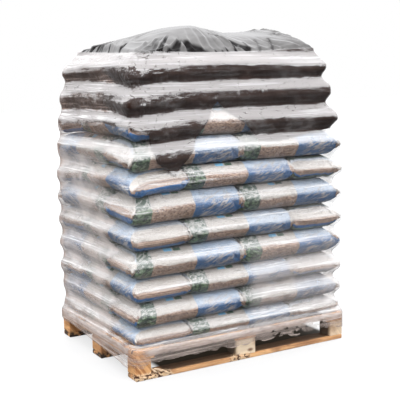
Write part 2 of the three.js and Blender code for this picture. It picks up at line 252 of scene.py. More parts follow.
class Nodes:
    """Short calls for building the nodes of a material or of the world."""

    def __init__(self, owner):
        owner.use_nodes = True
        self.owner, self.tree = owner, owner.node_tree

    def put(self, socket, value):
        if isinstance(value, Signal):
            self.tree.links.new(value.socket, socket)
        else:
            socket.default_value = value

    def node(self, kind, inputs=(), output=0, **settings):
        """Adds a node, gives it its inputs by place or by name, and returns one of its outputs."""
        made = self.tree.nodes.new("ShaderNode" + kind)
        for key, value in settings.items():
            setattr(made, key, value)
        for key, value in inputs.items() if isinstance(inputs, dict) else enumerate(inputs):
            self.put(made.inputs[key], value)
        return Signal(self, made.outputs[output])

    def set(self, **values):
        """Sets or links the surface shader's own sockets."""
        for key, value in values.items():
            self.put(self.tree.nodes["Principled BSDF"].inputs[key.replace("_", " ")], value)

    def math(self, operation, *values):
        return self.node("Math", values, operation=operation)

    def larger(self, a, b):
        return self.math("MAXIMUM", a, b)

    def smaller(self, a, b):
        return self.math("MINIMUM", a, b)

    def mix(self, share, a, b):
        a, b = [tone if isinstance(tone, Signal) else (*tone, 1.0) for tone in (a, b)]
        return self.node("Mix", {0: share, 6: a, 7: b}, output=2, data_type="RGBA")

    def ramp(self, value, low, high, start=0.0, end=1.0):
        return self.node("MapRange", (value, low, high, start, end), interpolation_type="SMOOTHSTEP")

    def within(self, value, low, high, soft):
        """1 where value lies between low and high, with soft edges."""
        return self.ramp(value, low - soft, low + soft) - self.ramp(value, high - soft, high + soft)

    def scaled(self, vector, factors, turn=0.0):
        turned = self.node("Mapping", {0: vector, 2: (0, 0, turn)})
        return self.node("Mapping", {0: turned, 3: factors})

    def noise(self, vector, scale, detail=3.0, roughness=0.5, distortion=0.0, **settings):
        inputs = {"Vector": vector, "Scale": scale, "Detail": detail, "Roughness": roughness,
                  "Distortion": distortion}
        return self.node("TexNoise", inputs, **settings)

    def creases(self, vector, scale, detail=4.0):
        """Sharp ridges, as in crumpled film."""
        return self.noise(vector, scale, detail, 0.55, 0.4, noise_type="RIDGED_MULTIFRACTAL")

    def cells(self, vector, scale, feature="F1", output=0):
        return self.node("TexVoronoi", {"Vector": vector, "Scale": scale}, output, feature=feature)

    def bump(self, height, strength, distance):
        return self.node("Bump", {"Strength": strength, "Distance": distance, "Height": height})

    def place(self):
        return self.node("NewGeometry", output="Position")

    def uv(self, name):
        return self.node("UVMap", uv_map=name)

    def stored(self, name):
        return self.node("Attribute", output="Fac", attribute_name=name)

    def split(self, vector):
        parts = self.node("SeparateXYZ", (vector,)).socket.node
        return [Signal(self, part) for part in parts.outputs]

    def upward(self):
        """How far the surface faces up, from -1 to 1."""
        return self.split(self.node("NewGeometry", output="Normal"))[2]

    def end_in(self, output, lighting, seen):
        """Ends the tree with a shader that gives the light, and another that the camera sees."""
        by_camera = self.node("LightPath", output="Is Camera Ray")
        both = self.node("MixShader", (by_camera, lighting, seen))
        self.put(self.tree.nodes[output].inputs[0], both)


def new_look(name):
    return Nodes(bpy.data.materials.new(name))


# Meshes


def mesh_piece(name, coords, faces, material):
    mesh = bpy.data.meshes.new(name)
    mesh.from_pydata([tuple(point) for point in coords], [], [tuple(face) for face in faces])
    return finish_piece(name, mesh, material)


def finish_piece(name, mesh, material, smooth=True):
    """Makes the object of a mesh that is in place, and that rides on the load."""
    mesh.update()
    mesh.polygons.foreach_set("use_smooth", np.full(len(mesh.polygons), smooth))
    if not mesh.materials:
        mesh.materials.append(material)
    piece = bpy.data.objects.new(name, mesh)
    bpy.context.scene.collection.objects.link(piece)
    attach(piece, "root")
    return piece


def set_uv(mesh, name, values):
    """Gives each corner of the mesh the two values of its vertex."""
    corners = np.zeros(len(mesh.loops), int)
    mesh.loops.foreach_get("vertex_index", corners)
    set_corner_uv(mesh, name, np.asarray(values)[corners])


def set_corner_uv(mesh, name, values):
    mesh.uv_layers.new(name=name).data.foreach_set("uv", values.astype(np.float32).ravel())


def set_value(mesh, name, value):
    """Gives all points of the mesh one value, for its material to read."""
    values = np.full(len(mesh.vertices), value, np.float32)
    mesh.attributes.new(name, "FLOAT", "POINT").data.foreach_set("value", values)


# Stage, light and camera


def make_stage():
    """A pale floor with painted shade beneath the load; it gives the load's undersides little bounce."""
    floor = bpy.data.meshes.new("floor")
    floor.from_pydata([(-30, -30, 0), (30, -30, 0), (30, 30, 0), (-30, 30, 0)], [], [(0, 1, 2, 3)])
    look = new_look("pale floor")
    x, y = look.split(look.place())[0:2]
    # Painted shade: beneath the pallet the floor is coloured near black and stops glowing, where it would lie
    # in shadow.
    painted_shade_under_load = look.within(x, -0.42, 0.59, 0.02) * look.within(y, -0.44, 0.44, 0.02)
    pale = look.mix(painted_shade_under_load, (0.16, 0.16, 0.16), (0.004, 0.003, 0.002))
    look.set(Base_Color=pale, Roughness=0.9, Emission_Strength=4.3, Emission_Color=pale)
    seen = Signal(look, look.tree.nodes["Principled BSDF"].outputs[0])
    lighting = look.node("BsdfDiffuse", ((0.10, 0.10, 0.10, 1),))
    look.end_in("Material Output", lighting, seen)
    floor.materials.append(look.owner)
    stage = bpy.data.objects.new("floor", floor)
    bpy.context.scene.collection.objects.link(stage)


def make_world():
    """A studio sky that the camera sees white, and that lights from overhead and is dim at the horizon."""
    sky = Nodes(bpy.data.worlds.new("studio"))
    way = sky.node("TexCoord", output="Generated")
    middle = Vector(SKY_MIDDLE).normalized()
    facing = sky.node("VectorMath", (way, middle), output="Value", operation="DOT_PRODUCT")
    glow = sky.node("FloatCurve", {"Value": facing})
    mapping = glow.socket.node.mapping
    mapping.curves[0].points[0].location = SKY_GLOW[0]
    mapping.curves[0].points[1].location = SKY_GLOW[-1]
    for point in SKY_GLOW[1:-1]:
        mapping.curves[0].points.new(*point)
    mapping.update()
    lighting = sky.node("Background", ((0.97, 0.98, 1, 1), glow * SKY_POWER))
    seen = sky.node("Background", ((1, 1, 1, 1), 1.0))
    sky.end_in("World Output", lighting, seen)
    bpy.context.scene.world = sky.owner


def make_camera():
    forward = Vector((math.sin(CAMERA_TURN) * math.cos(CAMERA_PITCH),
                      math.cos(CAMERA_TURN) * math.cos(CAMERA_PITCH), -math.sin(CAMERA_PITCH)))
    camera = bpy.data.cameras.new("camera")
    camera.lens, camera.sensor_width, camera.clip_end = CAMERA_LENS, SENSOR_WIDTH, 100.0
    made = bpy.data.objects.new("camera", camera)
    made.location = CAMERA_PLACE
    made.rotation_mode = "QUATERNION"
    made.rotation_quaternion = Quaternion(-forward, CAMERA_ROLL) @ forward.to_track_quat("-Z", "Y")
    bpy.context.scene.collection.objects.link(made)
    bpy.context.scene.camera = made


# Sacks


def flat_sack():
    """A flat tube of two panels joined at the rim: its points, its faces, and their places on the panels."""
    nx, ny = round(SACK_FLAT_LENGTH / SACK_MESH), round(SACK_FLAT_WIDTH / SACK_MESH)
    rng = np.random.default_rng(11)
    coords, prints, index, faces = [], [], {}, []

    def corner(i, j, side):
        rim = i in (0, nx) or j in (0, ny)
        key = (i, j, 0 if rim else side)
        if key not in index:
            index[key] = len(coords)
            along, across = 2 * i / nx - 1, 2 * j / ny - 1
            lift = 0.0 if rim else side * (0.004 + 0.002 * rng.random())
            coords.append((along * SACK_FLAT_LENGTH / 2, across * SACK_FLAT_WIDTH / 2, lift))
            prints.append((along, across, 0 if rim else side))
        return index[key]

    for side in (1, -1):
        for i in range(nx):
            for j in range(ny):
                quad = [corner(i, j, side), corner(i + 1, j, side),
                        corner(i + 1, j + 1, side), corner(i, j + 1, side)]
                faces.append(quad if side > 0 else quad[::-1])
    return np.array(coords), faces, np.array(prints)


def press_board(low, high):
    """A box that the cloth can't pass."""
    low, high = Vector(low), Vector(high)
    bpy.ops.mesh.primitive_cube_add(size=1, location=(low + high) / 2)
    board = bpy.context.object
    board.scale = high - low
    bpy.ops.object.transform_apply(location=True, rotation=False, scale=True)
    board.modifiers.new("press", "COLLISION")
    board.collision.thickness_outer = 0.001
    board.collision.cloth_friction = 0.5
    return board


def press_boards():
    """Boards above and below a sack, and four at its sides that close in on it, each with its way out."""
    thick, far = PRESS_THICK, PRESS_SIZE
    long, wide, high = SACK_HALF_LENGTH, SACK_HALF_WIDTH, SACK_HALF_HEIGHT
    out = SACK_OUTER_ROOM
    fixed = [press_board((-far, -far, high), (far, far, high + thick)),
             press_board((-far, -far, -high - thick), (far, far, -high))]
    moving = [(press_board((-long - out - thick, -far, -far), (-long - out, far, far)), (-1, 0)),
              (press_board((long, -far, -far), (long + thick, far, far)), (1, 0)),
              (press_board((-far, -wide - out - thick, -far), (far, -wide - out, far)), (0, -1)),
              (press_board((-far, wide, -far), (far, wide + thick, far)), (0, 1))]
    return fixed, moving


def fill_sack(coords, faces, growth, pressure, bending):
    """Blows a flat sack up between boards that press it to the shape it has on the load."""
    mesh = bpy.data.meshes.new("flat sack")
    mesh.from_pydata([tuple(point) for point in coords * growth], [], faces)
    sack = bpy.data.objects.new("flat sack", mesh)
    bpy.context.scene.collection.objects.link(sack)
    cloth = sack.modifiers.new("fill", "CLOTH")
    rules = cloth.settings
    rules.quality, rules.mass, rules.air_damping = 7, 0.15, 2.0
    rules.tension_stiffness, rules.compression_stiffness, rules.shear_stiffness = 60, 30, 12
    rules.tension_damping = rules.compression_damping = rules.shear_damping = 10
    rules.bending_stiffness = bending
    rules.use_pressure, rules.uniform_pressure_force = True, pressure
    rules.effector_weights.gravity = 0
    cloth.collision_settings.distance_min = 0.001
    cloth.collision_settings.collision_quality = 3
    cloth.point_cache.frame_start, cloth.point_cache.frame_end = 1, SACK_FRAMES
    fixed, moving = press_boards()
    for step in range(1, SACK_FRAMES + 1):
        closed = min(1.0, max(0.0, (step - FRAMES_BEFORE) / (SACK_FRAMES - FRAMES_STILL)))
        for board, way in moving:
            board.location = Vector((*way, 0)) * PRESS_WAY * (1 - closed)
        bpy.context.scene.frame_set(step)
    filled = sack.evaluated_get(bpy.context.evaluated_depsgraph_get()).to_mesh()
    result = np.zeros(len(coords) * 3)
    filled.vertices.foreach_get("co", result)
    for used in [sack] + fixed + [board for board, way in moving]:
        bpy.data.objects.remove(used)
    bpy.context.scene.frame_set(1)
    return result.reshape(-1, 3)


def sack_masters():
    coords, faces, prints = flat_sack()
    shapes = [fill_sack(coords, faces, *recipe) for recipe in SACK_RECIPES]
    mesh = bpy.data.meshes.new("sack")
    mesh.from_pydata([tuple(point) for point in coords], [], faces)
    return mesh, shapes, prints


# Each sack of a layer: first cell along and across, lengthwise or not, and at which end its green print is
BOND_FRONT_ALONG = [(0, 0, True, -1), (2, 0, True, -1), (0, 1, False, -1),
                    (1, 1, False, 1), (2, 1, False, -1), (3, 1, False, 1)]
BOND_ENDS_ACROSS = [(0, 0, False, 1), (1, 0, True, -1), (3, 0, False, -1),
                    (1, 1, True, 1), (0, 2, True, 1), (2, 2, True, 1)]


def fitted(values, half, low, high, low_free, high_free):
    """Fits one coordinate of a filled sack between low and high. A side that touches another sack is flat."""
    if high_free and not low_free:
        return -fitted(values, half, -high, -low, True, False)
    scale = (high - low) / (2 * half + (SACK_OUTER_ROOM if low_free else 0.0))
    place = np.minimum(high + (values - half) * scale, high - TOUCH_ROOM)
    if not low_free:
        return np.maximum(place, low + TOUCH_ROOM)
    past = np.maximum(low - place, 0)
    return np.where(past > 0, low - EAR_ROOM * (1 - np.exp(-past / EAR_ROOM)), place)


def rounded_in(place, share, ease, profile, low, high, low_free, high_free):
    """Draws a sack's free sides in towards its top and bottom, so that they stand out in a lip."""
    lip, above, below, depth = profile
    above = above * np.clip((share - lip) / (1 - lip), 0, 1) ** 1.1
    below = below * np.clip((lip - share) / lip, 0, 1) ** 2
    drawn = (above + below) * ease
    if low_free:
        place = place + drawn * smoothstep(low + depth, low, place)
    if high_free:
        place = place - drawn * smoothstep(high - depth, high, place)
    return place


def squared_off(x, y, sides_x, sides_y):
    """Fills out the pinched corner of a sack where it stands at a corner of the load."""
    if not any(sides_x[2:]) or not any(sides_y[2:]):
        return x, y
    gaps = [place - low if low_free else high - place
            for place, (low, high, low_free, high_free) in ((x, sides_x), (y, sides_y))]
    near = CORNER_FILL * smoothstep(0.20, 0.05, gaps[0] + gaps[1])
    moves = [np.maximum(gap, 0) * near * np.exp(-(gap / CORNER_REACH) ** 2) for gap in gaps]
    return (x - moves[0] * (1 if sides_x[2] else -1), y - moves[1] * (1 if sides_y[2] else -1))


def outwards(x, y):
    """How far out each point is, as shares of the pallet's half length and half depth."""
    return np.abs(x) / (PALLET_LONG / 2), np.abs(y) / (PALLET_DEEP / 2)


def corner_ease(x, y):
    """How much less the sacks draw in at each point, as a share."""
    corner = smoothstep(1.55, 1.95, sum(outwards(x, y)))
    return corner * np.where(x > 0, EASE_RIGHT, np.where(y > 0, EASE_BACK_LEFT, EASE_FRONT_LEFT))


def level_between(x, y, number):
    """How far the boundary under layer `number` strays from level: it waves, and rises to the sides."""
    if number == 0:
        return np.zeros_like(x)
    out_x, out_y = outwards(x, y)
    wave = lattice_noise(x / WAVE_LENGTH + 7.3 * number, y / WAVE_LENGTH + 3.1, 40 + number)
    at_corner = smoothstep(1.45, 2.0, out_x + out_y) * smoothstep(0.20, -0.20, x)
    rise = EDGE_RISES[number] + LEFT_RISE * (number / LAYERS) * smoothstep(-0.40, -0.56, x)
    droop = CORNER_DROOP * (number / LAYERS) ** 2 * at_corner * smoothstep(0.1, -0.1, y)
    rise = rise * smoothstep(0.60, 0.86, np.maximum(out_x, out_y)) * (1 - at_corner)
    return WAVE_HEIGHT * wave + rise - droop


def place_sack(layer, spec, shape, flip, box):
    """World coordinates of one sack's points."""
    i, j, lengthwise = spec[:3]
    (low_x, low_y, low_z), (high_x, high_y, high_z) = box
    step_x, step_y = (high_x - low_x) / CELLS_LONG, (high_y - low_y) / CELLS_DEEP
    span_i, span_j = (2, 1) if lengthwise else (1, 2)
    sides_x = (low_x + i * step_x, low_x + (i + span_i) * step_x, i == 0, i + span_i == CELLS_LONG)
    sides_y = (low_y + j * step_y, low_y + (j + span_j) * step_y, j == 0, j + span_j == CELLS_DEEP)
    long_sides, wide_sides = (sides_x, sides_y) if lengthwise else (sides_y, sides_x)
    along = fitted(shape[:, 0], SACK_HALF_LENGTH, *long_sides)
    across = fitted(shape[:, 1], SACK_HALF_WIDTH, *wide_sides)
    x, y = (along, across) if lengthwise else (across, along)
    share = 0.5 + flip * shape[:, 2] / (2 * np.abs(shape[:, 2]).max())
    ease = 1 - corner_ease(x, y)
    x, y = squared_off(x, y, sides_x, sides_y)
    profiles = (END_PROFILE, SIDE_PROFILE) if lengthwise else (SIDE_PROFILE, END_PROFILE)
    lifted = share - RIGHT_LIP_RISE * smoothstep(0.30, 0.55, x)
    x = rounded_in(x, lifted, ease, profiles[0], *sides_x)
    y = rounded_in(y, lifted, ease, profiles[1], *sides_y)
    floor = low_z + level_between(x, y, layer)
    roof = high_z + level_between(x, y, layer + 1)
    return np.stack([x, y, floor + share * (roof - floor)], 1)


def sack_print(prints, spec, world, flip):
    """Where each point is on the print: along it from its green end, and round it, with the rim at 0.5."""
    lengthwise, green_end = spec[2:]
    axis = 0 if lengthwise else 1
    along = prints[:, 0]
    facing = np.sign(np.sum(along * (world[:, axis] - world[:, axis].mean())))
    along = along * facing * -green_end
    from_ends, from_sides = [(1 - np.abs(prints[:, k])) * size
                             for k, size in enumerate((SACK_FLAT_LENGTH, SACK_FLAT_WIDTH))]
    from_rim = np.minimum(from_ends, from_sides)
    round_it = 0.5 - np.sign(prints[:, 2] * flip) * from_rim / (2 * SACK_FLAT_WIDTH)
    return np.stack([(along + 1) / 2, round_it], 1)


def make_sacks(material):
    """Six sacks a layer, each its own mesh. Returns all their points, for the film that goes round them."""
    master, shapes, prints = sack_masters()
    rng = np.random.default_rng(5)
    reached = []
    for layer in range(LAYERS):
        node = f"sack_layer_{layer + 1:02d}"
        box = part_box(node)
        bond = BOND_ENDS_ACROSS if layer % 2 == 0 else BOND_FRONT_ALONG
        for number, spec in enumerate(bond):
            shape = shapes[rng.integers(len(shapes))]
            flip = 1 if rng.random() < 0.5 else -1
            world = place_sack(layer, spec, shape, flip, box)
            mesh = master.copy()
            mesh.vertices.foreach_set("co", world.ravel())
            set_uv(mesh, "print", sack_print(prints, spec, world, flip))
            set_value(mesh, "shade", rng.random())
            if signed_volume(mesh, world) < 0:
                mesh.flip_normals()
            sack = finish_piece(f"sack_{layer + 1:02d}_{number + 1}", mesh, material)
            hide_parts(node)
            reached.append(world)
    return np.concatenate(reached)


def signed_volume(mesh, coords):
    """Negative where the mesh's faces point inwards."""
    loops = np.zeros(len(mesh.loops), int)
    mesh.loops.foreach_get("vertex_index", loops)
    quads = coords[loops].reshape(-1, 4, 3)
    return np.sum(np.cross(quads[:, 0], quads[:, 1]) * quads[:, 2])


def sack_material():
    look = new_look("printed sack")
    uv, shade = look.uv("print"), look.stored("shade")
    along, around = look.split(uv)[0:2]
    flat = look.scaled(uv, (SACK_FLAT_LENGTH, SACK_FLAT_WIDTH * 2, 1))
    flat = look.node("VectorMath", (flat, look.node("CombineXYZ", {2: shade * 9.0})), operation="ADD")
    edge = around + look.noise(flat, 14.0, 3.0) * 0.07 + shade * 0.07 - 0.02

    beige = beige_panel(look, flat, edge)
    colour = look.mix(look.ramp(along, 0.218, 0.223), green_panel(look, flat, edge), beige)
    colour = look.mix(look.ramp(along, 0.545, 0.550), colour, blue_panel(look, flat, edge, along))
    ends = look.ramp(along, 0.074, 0.068) + look.ramp(along, 0.922, 0.928)
    colour = look.mix(ends, colour, end_fold(look, beige, edge))
    for first, last, tone in ((0.33, 0.39, (0.20, 0.50, 0.72)), (0.40, 0.455, (0.07, 0.12, 0.08))):
        square = look.within(along, first, last, 0.002) * look.within(around, 0.33, 0.38, 0.002)
        colour = look.mix(square, colour, tone)
    tinted = look.node("VectorMath", {0: colour, 3: shade * 0.20 + 0.90}, operation="SCALE")

    place = look.place()
    creases = look.creases(look.scaled(place, (1.0, 1.0, 1.5)), 15.0)
    height = creases + look.cells(place, 130.0, "SMOOTH_F1") * 0.30
    look.set(Base_Color=tinted, Roughness=0.28, Specular_IOR_Level=0.6, Normal=look.bump(height, 1.0, 0.012))
    return look.owner


def beige_panel(look, flat, edge):
    """Pale above the sack's edge, and below it a close speckle of browns like a picture of pellets."""
    grain = look.split(look.cells(flat, 130.0, output=1))[0]
    pale = look.mix(look.noise(flat, 30.0, 3.0), (0.55, 0.52, 0.49), (0.42, 0.375, 0.335))
    brown = look.mix(grain, (0.115, 0.058, 0.036), (0.44, 0.31, 0.235))
    return look.mix(look.ramp(edge, 0.53, 0.56), pale, brown)


def green_panel(look, flat, edge):
    """Dark green leaves on the side, and pale with green flecks on the top."""
    leaf = look.ramp(look.noise(flat, 42.0, 4.0, 0.65), 0.46, 0.58)
    side = look.mix(leaf, (0.010, 0.024, 0.014), (0.11, 0.17, 0.095))
    top = look.mix(leaf, (0.10, 0.14, 0.11), (0.44, 0.44, 0.41))
    return look.mix(look.ramp(edge, 0.525, 0.555), top, side)


def blue_panel(look, flat, edge, along):
    """A blue sky, pale on the top as print and painted highlight, with tan strokes like grass on one half of
    it.
    """
    deep = look.mix(look.noise(flat, 22.0, 3.0), (0.008, 0.045, 0.14), (0.035, 0.125, 0.27))
    # The pale top colour is partly the print and partly a painted highlight on the sack's upper slope.
    high = look.mix(look.noise(flat, 12.0, 3.0), (0.20, 0.32, 0.49), (0.54, 0.58, 0.63))
    blue = look.mix(look.ramp(edge, 0.48, 0.56), high, deep)
    blades = look.noise(look.scaled(flat, (14.0, 62.0, 1.0), turn=0.75), 1.0, 3.0, 0.6, 0.5)
    strokes = look.ramp(blades, 0.50, 0.58) * look.within(along, 0.61, 0.86, 0.03)
    strokes = strokes * look.ramp(edge, 0.42, 0.52, 0.10, 0.75)
    return look.mix(strokes, blue, look.mix(look.noise(flat, 60.0), (0.22, 0.18, 0.15), (0.55, 0.50, 0.45)))


def end_fold(look, beige, edge):
    """The folded end of a sack: pale, then speckled brown, with a blue strip along its lower edge."""
    lower = look.mix(look.ramp(edge, 0.615, 0.63), beige, (0.03, 0.12, 0.30))
    return look.mix(look.ramp(edge, 0.425, 0.44), (0.44, 0.48, 0.53), lower)


# The skins round the load


def skin_stations(count):
    """Start and outward direction of each station round the load, its place on the way, and the way round."""
    arc = SKIN_CORNER * math.pi / 2
    turns = np.append(0, np.cumsum([2 * SKIN_CORE_LONG, arc, 2 * SKIN_CORE_DEEP, arc] * 2))
    places = (np.arange(count) + 0.5) * turns[-1] / count
    angles = np.interp(places, turns, [-0.5, -0.5, 0, 0, 0.5, 0.5, 1, 1, 1.5]) * math.pi
    x = np.interp(places, turns, [-1, 1, 1, 1, 1, -1, -1, -1, -1]) * SKIN_CORE_LONG
    y = np.interp(places, turns, [-1, -1, -1, 1, 1, 1, 1, -1, -1]) * SKIN_CORE_DEEP
    return np.stack([x, y], 1), np.stack([np.cos(angles), np.sin(angles)], 1), places, turns[-1]


def station_of(points, count):
    """The station that each point lies at, and how far out it is there."""
    core_x = np.clip(points[:, 0], -SKIN_CORE_LONG, SKIN_CORE_LONG)
    core_y = np.clip(points[:, 1], -SKIN_CORE_DEEP, SKIN_CORE_DEEP)
    out_x, out_y = points[:, 0] - core_x, points[:, 1] - core_y
    quarter, long, deep = math.pi / 2, 2 * SKIN_CORE_LONG, 2 * SKIN_CORE_DEEP
    turn = (np.arctan2(out_y, out_x) + quarter) % (4 * quarter)
    side = ((turn + 1e-9) / quarter).astype(int) % 4
    walked = np.choose(side, [core_x + long / 2, long + deep / 2 + core_y, long * 1.5 + deep - core_x,
                              long * 2 + deep * 1.5 - core_y])
    way_round = 2 * (long + deep) + 4 * quarter * SKIN_CORNER
    station = ((walked + turn * SKIN_CORNER) / way_round * count).astype(int) % count
    return station, np.hypot(out_x, out_y)


def closed_over(reach, axis, spacing, radius, wraps):
    """Rolls a ball of this radius over the outside of the load, along one axis of the reach."""
    steps = int(math.sqrt(2 * radius * DEEPEST_GAP) / spacing) + 1
    drops = {shift: (shift * spacing) ** 2 / (2 * radius) for shift in range(-steps, steps + 1)}
    filled = np.full_like(reach, -1.0)
    for shift, drop in drops.items():
        filled = np.maximum(filled, moved(reach, shift, axis, wraps, -1.0) - drop)
    shut = np.full_like(reach, 9.0)
    for shift, drop in drops.items():
        shut = np.minimum(shut, moved(filled, shift, axis, wraps, 9.0) + drop)
    return shut


def pallet_points():
    """Points down the pallet's four upright edges and along its sides, where the film lies on it."""
    points = []
    for z in np.arange(0.0, PALLET_TOP + 0.001, 0.004):
        for x in np.arange(-PALLET_LONG / 2, PALLET_LONG / 2 + 0.001, 0.01):
            points += [(x, -PALLET_DEEP / 2, z), (x, PALLET_DEEP / 2, z)]
        for y in np.arange(-PALLET_DEEP / 2, PALLET_DEEP / 2 + 0.001, 0.01):
            points += [(-PALLET_LONG / 2, y, z), (PALLET_LONG / 2, y, z)]
    return np.array(points)


def packed_reach(points, heights):
    """How far the load stands out at each station and row, with no row that falls in too steeply."""
    spacing = heights[1] - heights[0]
    station, far = station_of(points, FILM_STATIONS)
    row = np.round((points[:, 2] - heights[0]) / spacing).astype(int)
    good = (row >= 0) & (row < FILM_ROWS) & (far > 0.02)
    reach = np.full((FILM_STATIONS, FILM_ROWS), -1.0)
    np.maximum.at(reach, (station[good], row[good]), far[good])
    for axis, wraps in ((0, True), (1, False), (1, False)):
        beside = [moved(reach, shift, axis, wraps, -1.0) for shift in (1, -1)]
        reach = np.maximum(reach, np.maximum(*beside))
    for row in range(1, FILM_ROWS):
        reach[:, row] = np.maximum(reach[:, row], reach[:, row - 1] - STEEPEST_ROOF * spacing)
    return np.maximum(reach, 0.0)


def film_reach(points):
    """How far the film and the load under it stand out at each station and row, and the rows' heights."""
    heights = np.linspace(FILM_FOOT - 0.02, FILM_TOP + BACK_TOP_RISE, FILM_ROWS)
    spacing = heights[1] - heights[0]
    reach = packed_reach(np.concatenate([points, pallet_points()]), heights)
    starts, ways = skin_stations(FILM_STATIONS)[0:2]
    to_back = smoothstep(-0.36, -0.12, starts[:, 1] + ways[:, 1] * SKIN_CORNER)
    slack = to_back * smoothstep(-0.2, -0.6, ways[:, 0])
    slack = slack[:, None] * smoothstep(1.40, 1.34, heights)[None, :]
    filled = closed_over(reach, 1, spacing, SAG_RADIUS, False) * (1 - slack)
    filled = filled + closed_over(reach, 1, spacing, LEFT_SAG_RADIUS, False) * slack
    tight = np.stack([hull_reach(filled[:, k], starts, ways) for k in range(FILM_ROWS)], 1)
    apart = 4 * (SKIN_CORE_LONG + SKIN_CORE_DEEP) / FILM_STATIONS
    loose = closed_over(filled, 0, apart, ROUND_SAG_RADIUS, True)
    share = np.where(np.abs(ways).max(1) < 0.999, 1.0, TIGHT_ROUND)[:, None]
    share = blurred(share, 0, 6, True)
    skin = np.minimum(tight, loose) * (1 - share) + tight * share
    skin = blurred(blurred(skin, 0, 2, True), 1, 2, False)
    return skin, blurred(reach, 0, 1, True), heights


def hull_reach(reach, starts, ways):
    """How far out a band drawn tight round one height stands at each station."""
    points = starts + ways * reach[:, None]
    order = sorted(map(tuple, points))
    hull = []
    for run in (order, order[::-1]):
        side = []
        for point in run:
            while len(side) > 1 and turn_of(side[-2], side[-1], point) <= 0:
                side.pop()
            side.append(point)
        hull += side[:-1]
    hull = np.array(hull)
    edges = np.roll(hull, -1, 0) - hull
    normals = np.stack([edges[:, 1], -edges[:, 0]], 1) / np.linalg.norm(edges, axis=1)[:, None]
    room = np.sum(hull * normals, 1)[None, :] - starts @ normals.T
    slope = ways @ normals.T
    return np.where(slope > 1e-6, room / np.maximum(slope, 1e-6), 9.0).min(1)


def turn_of(a, b, c):
    return (b[0] - a[0]) * (c[1] - a[1]) - (b[1] - a[1]) * (c[0] - a[0])


def crumples(around, up, way_round):
    """How deep the gathered creases are at each point."""
    near_corner = way_round - SKIN_CORNER * math.pi / 4
    sideways = (around - near_corner + way_round / 2) % way_round - way_round / 2
    depth = np.zeros_like(around)
    for number, (place, height, deep, size) in enumerate(CRUMPLES):
        far = np.hypot(sideways - place, up - height)
        turn = np.arctan2(up - height, sideways - place) / (2 * math.pi) + 0.5
        spokes = 1 - np.abs(lattice_noise(turn * 22, far / 0.09 + number * 5, 90 + number))
        depth = depth + deep * spokes ** 4 * np.exp(-(far / size) ** 2)
    return depth


# The stretch film


def film_clouds(stations, heights, skin):
    """Where many turns make the film cloudy: least on the front and on the left side next to it."""
    starts, ways = stations[0:2]
    middle = blurred(skin, 1, 600, False)
    bulge = np.clip((skin - middle) / 0.016 * 0.5 + 0.5, 0, 1)
    from_corner = np.where(ways[:, 0] < -0.3, starts[:, 1] + SKIN_CORE_DEEP, 0.0)[:, None]
    stray = 0.03 * lattice_noise(heights / 0.11, heights * 0, 75)[None, :]
    left = smoothstep(-0.03, 0.05, from_corner - 0.06 - 0.15 * bulge + stray)
    others = CLOUDY_SIDES * ((ways[:, 0] > 0.9) | (ways[:, 1] > 0.5))[:, None]
    low = CLOUDY_FOOT * smoothstep(0.20, 0.13, heights)[None, :]
    wander = 0.02 * lattice_noise(heights / 0.2, heights * 0, 79)[None, :]
    right_of = smoothstep(0.03, 0.07, starts[:, 0, None] + wander)
    front = CLOUDY_FRONT * smoothstep(1.02, 0.80, heights)
    front = front + CLOUDY_FRONT_LOW * smoothstep(0.60, 0.40, heights)
    front = (ways[:, 1] < -0.5)[:, None] * right_of * front[None, :]
    cloudy = np.maximum(np.maximum(left, others), np.maximum(low, front))
    return blurred(cloudy, 0, 2, True) - sheet_doubled(starts, ways, heights)


def sheet_doubled(starts, ways, heights):
    """Where the front of the sheet lies double or hangs in its flap, the film on it is clearer."""
    x, z = (starts + ways * SKIN_CORNER)[:, 0, None], heights[None, :]
    fold = -0.083 + (z - 1.486) * 0.252
    doubled = smoothstep(fold + 0.004, fold - 0.004, x) * smoothstep(fold - 0.24, fold - 0.10, x) * (z > 1.09)
    flap = (np.abs(x - FLAP_TIP[0]) < 0.115) & (z < 1.10) & (z > 0.93)
    return (ways[:, 1] < -0.9)[:, None] * (0.55 * doubled + 0.5 * flap)


def film_feet(stations):
    """Where the film's lower edge lies: ragged on the long sides, and higher to the back on the left."""
    starts, ways, places, way_round = stations
    foot = FILM_FOOT + FOOT_WANDER * lattice_noise(places / 0.30, places * 0, 73)
    left_foot = LEFT_FOOT + LEFT_FOOT_RISE * (starts[:, 1] + SKIN_CORE_DEEP) / (2 * SKIN_CORE_DEEP)
    foot = np.where(ways[:, 0] < -0.5, left_foot, foot)
    ragged = FOOT_RAGGED + FOOT_RAGGED * lattice_noise(places / 0.035, places * 0, 76)
    return foot + np.where(np.abs(ways[:, 0]) > 0.9, 0.0, ragged)


def film_tops(stations):
    """Where the film's upper edge lies at each station: it climbs at the right and towards the back."""
    starts, ways = stations[0:2]
    right = RIGHT_TOP_RISE * smoothstep(0.05, 0.50, starts[:, 0] + ways[:, 0] * SKIN_CORNER)
    back = BACK_TOP_RISE * smoothstep(-0.35, 0.40, starts[:, 1] + ways[:, 1] * SKIN_CORNER)
    return FILM_TOP + np.maximum(right, back)


def torn_foot(stations, rows_z):
    """Which faces of the film are whole: its foot is torn on the right half of the front."""
    starts, ways, places = stations[0:3]
    torn = (ways[:, 1] < -0.9) & (starts[:, 0] > TORN_FROM) & (starts[:, 0] < TORN_TO)
    holes = lattice_noise(places[:, None] / 0.022, rows_z / 0.010, 77)
    return ~(torn[:, None] & (rows_z < TORN_TOP) & (holes > 0.25 + 8 * (rows_z - 0.10)))


